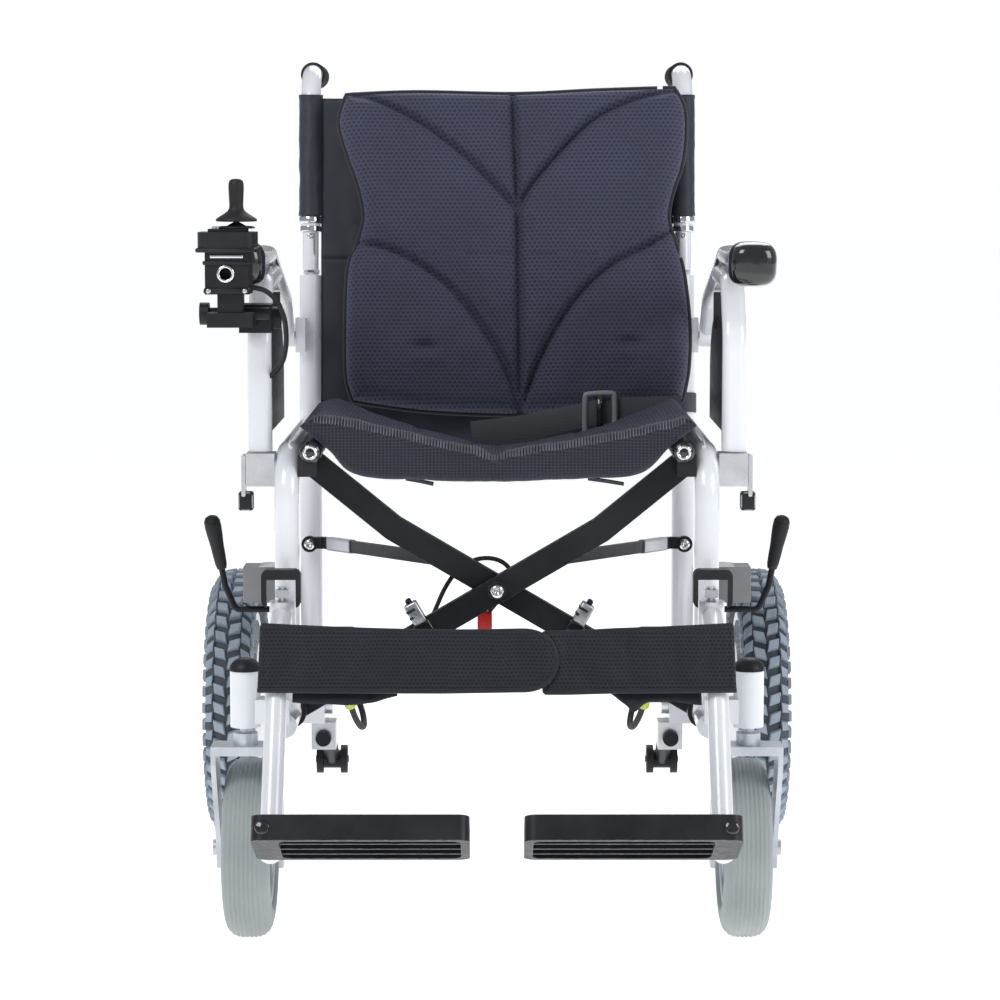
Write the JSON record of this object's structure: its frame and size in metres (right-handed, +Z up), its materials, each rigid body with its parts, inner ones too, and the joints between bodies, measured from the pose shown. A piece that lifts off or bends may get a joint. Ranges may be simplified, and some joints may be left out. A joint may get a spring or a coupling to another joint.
{
  "type": "power wheelchair",
  "caption": "Folding power wheelchair with cross-braced white frame, hub-motor wheels, swivel casters, flip-up arms, joystick, padded mesh seat and back, swing-away footrests.",
  "frame": {"origin": "on the floor, under the middle of the chair's plan", "axes": "+X across towards the side without the controller, +Y backward (the chair faces -Y), +Z up"},
  "size_m": [0.67, 0.9183, 0.891],
  "materials": {
    "white_frame": "gloss white powder coat",
    "alloy": "satin cast and machined alloy",
    "black_plastic": "fine-grained black moulding",
    "gloss_black": "smooth black moulding",
    "black_metal": "semi-gloss black enamel",
    "tread_rubber": "blue-grey knobbly rubber",
    "grey_tyre": "grey moulded polyurethane",
    "black_rubber": "soft black rubber",
    "mesh_fabric": "navy-black perforated mesh",
    "nylon": "smooth black nylon"
  },
  "bodies": {
    "frame_left": {"side_frame_left": "white_frame", "side_hardware_left": "alloy", "frame_fittings_left": "black_plastic", "battery_left": "black_plastic", "anti_tip_tube_left": "black_metal", "motor_cable_left": "black_rubber", "back_cushion_lower": "mesh_fabric", "back_sling_lower": "nylon"},
    "frame_right": {"side_frame_right": "white_frame", "side_hardware_right": "alloy", "frame_fittings_right": "black_plastic", "battery_right": "black_plastic", "anti_tip_tube_right": "black_metal", "motor_cable_right": "black_rubber"},
    "brace_a": {"brace_a": "black_metal"},
    "brace_b": {"brace_b": "black_metal"},
    "seat": {"seat_cushion": "mesh_fabric", "seat_belt": "nylon"},
    "back_left": {"upper_cane_left": "white_frame", "push_grip_left": "black_rubber", "back_cushion_upper": "mesh_fabric", "back_sling_upper": "nylon"},
    "back_right": {"upper_cane_right": "white_frame", "push_grip_right": "black_rubber"},
    "controller_tilt": {"joystick_boot": "black_rubber"},
    "joystick": {"joystick_stick": "black_rubber"},
    "power_button": {"power_button": "black_plastic"},
    "tippers_left": {"anti_tip_wheels_left": "black_plastic"},
    "drive_wheel_left": {"rear_tyre_left": "tread_rubber", "hub_motor_left": "alloy"},
    "fork_left": {"caster_fork_left": "alloy"},
    "caster_left": {"caster_wheel_left": "grey_tyre"},
    "hanger_left": {"hanger_left": "white_frame", "calf_strap_left": "mesh_fabric"},
    "hanger_latch_left": {"hanger_latch_left": "black_plastic"},
    "footplate_left": {"footplate_left": "black_plastic"},
    "link_left": {"brace_link_left": "black_metal"},
    "arm_left": {"arm_tube_left": "white_frame", "arm_pad_left": "gloss_black", "skirt_guard_left": "black_plastic", "joystick_bracket": "black_plastic", "controller_housing": "gloss_black", "controller_cable": "black_rubber"},
    "arm_latch_left": {"arm_latch_left": "black_plastic"},
    "brake_left": {"brake_lever_left": "black_plastic"},
    "tippers_right": {"anti_tip_wheels_right": "black_plastic"},
    "drive_wheel_right": {"rear_tyre_right": "tread_rubber", "hub_motor_right": "alloy"},
    "fork_right": {"caster_fork_right": "alloy"},
    "caster_right": {"caster_wheel_right": "grey_tyre"},
    "hanger_right": {"hanger_right": "white_frame", "calf_strap_right": "mesh_fabric"},
    "hanger_latch_right": {"hanger_latch_right": "black_plastic"},
    "footplate_right": {"footplate_right": "black_plastic"},
    "link_right": {"brace_link_right": "black_metal"},
    "arm_right": {"arm_tube_right": "white_frame", "arm_pad_right": "gloss_black", "skirt_guard_right": "black_plastic"},
    "arm_latch_right": {"arm_latch_right": "black_plastic"},
    "brake_right": {"brake_lever_right": "black_plastic"}
  },
  "joints": [
    {"name": "fold", "type": "hinge", "parent": "frame_left", "child": "brace_a", "pos_m": [-0.21, -0.02615, 0.222], "axis": [0, -1, 0], "range_deg": [0, 44], "deforming": ["seat_cushion", "seat_belt", "back_cushion_upper", "back_cushion_lower", "back_sling_upper", "back_sling_lower", "calf_strap_left", "calf_strap_right"]},
    {"name": "brace_scissor", "type": "hinge", "parent": "brace_a", "child": "brace_b", "pos_m": [0, -0.02615, 0.345], "axis": [0, -1, 0], "range_deg": [-89, 0.5]},
    {"name": "right_side_fold", "type": "hinge", "parent": "brace_b", "child": "frame_right", "pos_m": [0.21, -0.02615, 0.222], "axis": [0, -1, 0], "range_deg": [-0.5, 44.5]},
    {"name": "seat_lift", "type": "slide", "parent": "frame_left", "child": "seat", "axis": [0, 0, 1], "range_m": [-0.001, 0.2014]},
    {"name": "link_fold_left", "type": "hinge", "parent": "frame_left", "child": "link_left", "pos_m": [-0.21, 0.19585, 0.352], "axis": [0, -1, 0], "range_deg": [-1, 66]},
    {"name": "hanger_swing_left", "type": "hinge", "parent": "frame_left", "child": "hanger_left", "pos_m": [-0.213, -0.17915, 0.3], "axis": [0, 0, -1], "range_deg": [0, 90]},
    {"name": "footplate_flip_left", "type": "hinge", "parent": "hanger_left", "child": "footplate_left", "pos_m": [-0.213, -0.36015, 0.131], "axis": [0, -0.9063, 0.4226], "range_deg": [-1, 91]},
    {"name": "latch_press_left", "type": "hinge", "parent": "hanger_left", "child": "hanger_latch_left", "pos_m": [-0.213, -0.19415, 0.342], "axis": [1, 0, 0], "range_deg": [0, 12], "stiffness_Nm_per_rad": 1.5},
    {"name": "arm_flip_left", "type": "hinge", "parent": "frame_left", "child": "arm_left", "pos_m": [-0.238, 0.21885, 0.585], "axis": [-1, 0, 0], "range_deg": [0, 95]},
    {"name": "arm_latch_release_left", "type": "hinge", "parent": "frame_left", "child": "arm_latch_left", "pos_m": [-0.2545, -0.12315, 0.482], "axis": [0, 1, 0], "range_deg": [0, 20], "stiffness_Nm_per_rad": 0.6},
    {"name": "caster_swivel_left", "type": "hinge", "parent": "frame_left", "child": "fork_left", "pos_m": [-0.248, -0.21115, 0.24], "axis": [0, 0, 1], "continuous": true},
    {"name": "caster_roll_left", "type": "hinge", "parent": "fork_left", "child": "caster_left", "pos_m": [-0.248, -0.16615, 0.09], "axis": [1, 0, 0], "continuous": true},
    {"name": "drive_wheel_turn_left", "type": "hinge", "parent": "frame_left", "child": "drive_wheel_left", "pos_m": [-0.3, 0.28185, 0.156], "axis": [1, 0, 0], "continuous": true},
    {"name": "tipper_roll_left", "type": "hinge", "parent": "frame_left", "child": "tippers_left", "pos_m": [-0.2, 0.44185, 0.058], "axis": [1, 0, 0], "continuous": true},
    {"name": "brake_throw_left", "type": "hinge", "parent": "frame_left", "child": "brake_left", "pos_m": [-0.26, 0.08885, 0.294], "axis": [1, 0, 0], "range_deg": [0, 35]},
    {"name": "link_fold_right", "type": "hinge", "parent": "frame_right", "child": "link_right", "pos_m": [0.21, 0.19585, 0.352], "axis": [0, -1, 0], "range_deg": [-66, 1]},
    {"name": "hanger_swing_right", "type": "hinge", "parent": "frame_right", "child": "hanger_right", "pos_m": [0.213, -0.17915, 0.3], "axis": [0, 0, 1], "range_deg": [0, 90]},
    {"name": "footplate_flip_right", "type": "hinge", "parent": "hanger_right", "child": "footplate_right", "pos_m": [0.213, -0.36015, 0.131], "axis": [0, 0.9063, -0.4226], "range_deg": [-1, 91]},
    {"name": "latch_press_right", "type": "hinge", "parent": "hanger_right", "child": "hanger_latch_right", "pos_m": [0.213, -0.19415, 0.342], "axis": [1, 0, 0], "range_deg": [0, 12], "stiffness_Nm_per_rad": 1.5},
    {"name": "arm_flip_right", "type": "hinge", "parent": "frame_right", "child": "arm_right", "pos_m": [0.238, 0.21885, 0.585], "axis": [-1, 0, 0], "range_deg": [0, 95]},
    {"name": "arm_latch_release_right", "type": "hinge", "parent": "frame_right", "child": "arm_latch_right", "pos_m": [0.2545, -0.12315, 0.482], "axis": [0, -1, 0], "range_deg": [0, 20], "stiffness_Nm_per_rad": 0.6},
    {"name": "caster_swivel_right", "type": "hinge", "parent": "frame_right", "child": "fork_right", "pos_m": [0.248, -0.21115, 0.24], "axis": [0, 0, 1], "continuous": true},
    {"name": "caster_roll_right", "type": "hinge", "parent": "fork_right", "child": "caster_right", "pos_m": [0.248, -0.16615, 0.09], "axis": [1, 0, 0], "continuous": true},
    {"name": "drive_wheel_turn_right", "type": "hinge", "parent": "frame_right", "child": "drive_wheel_right", "pos_m": [0.3, 0.28185, 0.156], "axis": [1, 0, 0], "continuous": true},
    {"name": "tipper_roll_right", "type": "hinge", "parent": "frame_right", "child": "tippers_right", "pos_m": [0.2, 0.44185, 0.058], "axis": [1, 0, 0], "continuous": true},
    {"name": "brake_throw_right", "type": "hinge", "parent": "frame_right", "child": "brake_right", "pos_m": [0.26, 0.08885, 0.294], "axis": [1, 0, 0], "range_deg": [0, 35]},
    {"name": "back_fold", "type": "hinge", "parent": "frame_left", "child": "back_left", "pos_m": [-0.21, 0.26685, 0.654], "axis": [-1, 0, 0], "range_deg": [0, 100]},
    {"name": "back_fold_right", "type": "hinge", "parent": "frame_right", "child": "back_right", "pos_m": [0.21, 0.26685, 0.654], "axis": [-1, 0, 0], "range_deg": [-0.5, 100.5]},
    {"name": "joystick_fore_aft", "type": "hinge", "parent": "arm_left", "child": "controller_tilt", "pos_m": [-0.252, -0.21415, 0.707], "axis": [1, 0, 0], "range_deg": [-7, 7], "stiffness_Nm_per_rad": 0.25},
    {"name": "joystick_side", "type": "hinge", "parent": "controller_tilt", "child": "joystick", "pos_m": [-0.252, -0.21415, 0.707], "axis": [0, 1, 0], "range_deg": [-0.5, 0.5], "stiffness_Nm_per_rad": 0.25},
    {"name": "power_press", "type": "slide", "parent": "arm_left", "child": "power_button", "axis": [0, 0, -1], "range_m": [0, 0.0015], "stiffness_N_per_m": 400}
  ],
  "couplings": [
    {"joint": "brace_scissor", "follows": "fold", "ratio": -2},
    {"joint": "right_side_fold", "follows": "fold", "ratio": 1},
    {"joint": "seat_lift", "follows": "fold", "m_per_rad": 0.26099},
    {"joint": "link_fold_left", "follows": "fold", "ratio": 1.477},
    {"joint": "link_fold_right", "follows": "fold", "ratio": -1.477},
    {"joint": "footplate_flip_left", "follows": "fold", "ratio": 2.0455},
    {"joint": "footplate_flip_right", "follows": "fold", "ratio": 2.0455},
    {"joint": "back_fold_right", "follows": "back_fold", "ratio": 1}
  ]
}
